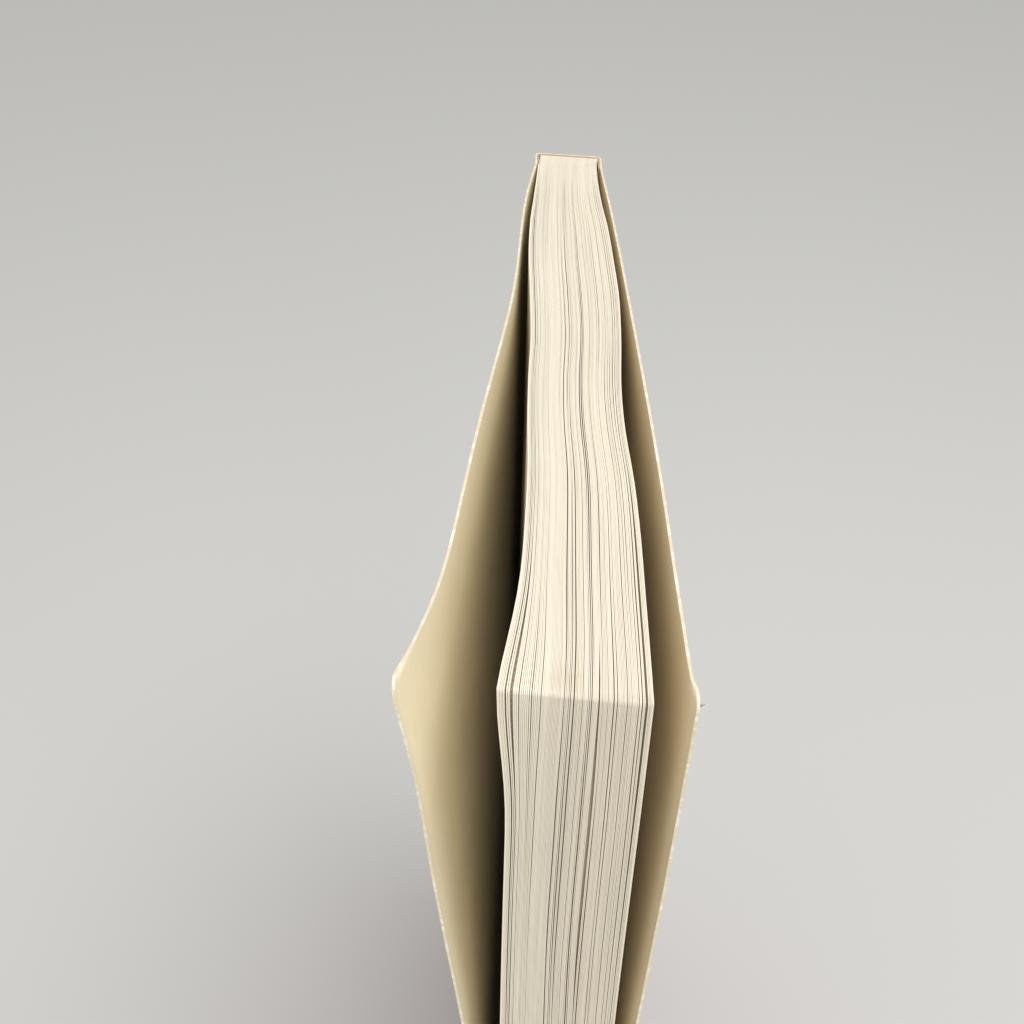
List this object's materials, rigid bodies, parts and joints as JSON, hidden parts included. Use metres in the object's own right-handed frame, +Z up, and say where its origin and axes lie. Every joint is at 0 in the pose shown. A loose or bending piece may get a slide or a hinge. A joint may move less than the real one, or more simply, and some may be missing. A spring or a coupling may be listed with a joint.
{
  "type": "paperback book",
  "caption": "Worn paperback book standing on its tail, with splayed covers that open at their creases.",
  "frame": {"origin": "centre of the page block's tail face, on the surface the book stands on", "axes": "+Z up from tail to head, +Y from the fore-edge to the spine, -X towards the front cover, +X towards the back cover"},
  "size_m": [0.0248, 0.1087, 0.178],
  "materials": {
    "pages": "aged cream book paper, trimmed edges",
    "binding_glue": "aged hot-melt glue",
    "cover_card": "cover card, plain laminated outside, bare tan inside, worn pale edges"
  },
  "bodies": {
    "pages": {"page_block": "pages", "spine_glue": "binding_glue", "spine_cover": "cover_card"},
    "front_cover": {"front_cover": "cover_card"},
    "back_cover": {"back_cover": "cover_card"}
  },
  "joints": [
    {"name": "front_cover_crease", "type": "hinge", "parent": "pages", "child": "front_cover", "pos_m": [-0.0049, 0.05072, 0.089], "axis": [0, 0, -1], "range_deg": [-0.7, 170]},
    {"name": "back_cover_crease", "type": "hinge", "parent": "pages", "child": "back_cover", "pos_m": [0.0049, 0.04984, 0.089], "axis": [0, 0, 1], "range_deg": [-0.4, 170]}
  ]
}
